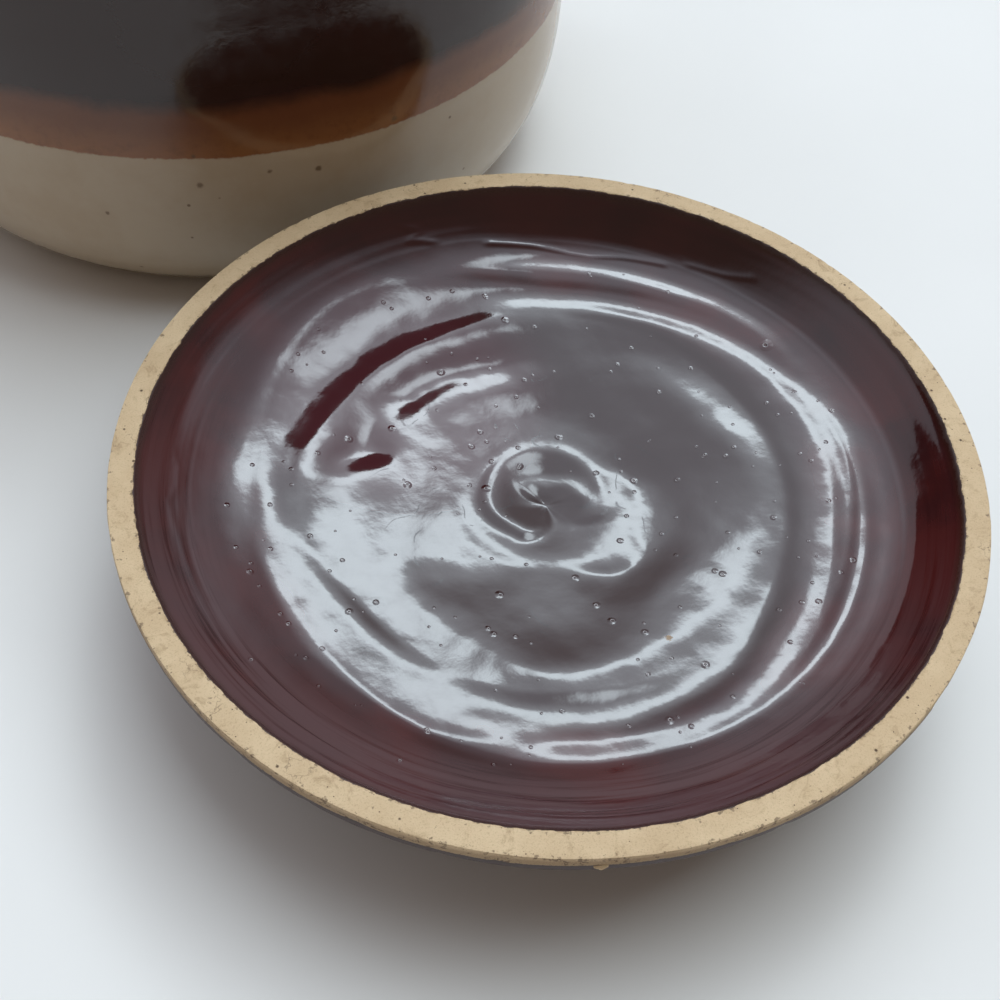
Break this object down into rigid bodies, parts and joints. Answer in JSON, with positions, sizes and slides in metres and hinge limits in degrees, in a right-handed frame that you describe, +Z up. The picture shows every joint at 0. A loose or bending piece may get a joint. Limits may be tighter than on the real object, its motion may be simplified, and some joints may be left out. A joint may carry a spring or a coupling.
{
  "type": "bean pot",
  "caption": "Round stoneware bean pot with ear handles and a ledge inside its lip, and its shallow knobbed lid lying upside down beside it.",
  "frame": {"origin": "centre of the pot's flat foot, on the table", "axes": "+Z up, the pot's ears along X, the lid lying on the table towards -Y"},
  "size_m": [0.232, 0.3609, 0.116],
  "materials": {
    "body_glaze": "glossy cream glaze below, brown glaze above, bare buff clay on the ledge and foot",
    "dark_glaze": "glossy dark brown glaze",
    "lid_glaze": "glossy red-brown glaze with throwing rings, bare buff clay rim"
  },
  "bodies": {
    "pot": {"pot_body": "body_glaze", "ear_right": "dark_glaze", "ear_left": "dark_glaze"},
    "lid": {"lid": "lid_glaze", "lid_knob": "dark_glaze"}
  },
  "joints": [
    {"name": "lid_lift", "type": "slide", "parent": "pot", "child": "lid", "axis": [0, 0, 1], "range_m": [0, 0.2]}
  ]
}
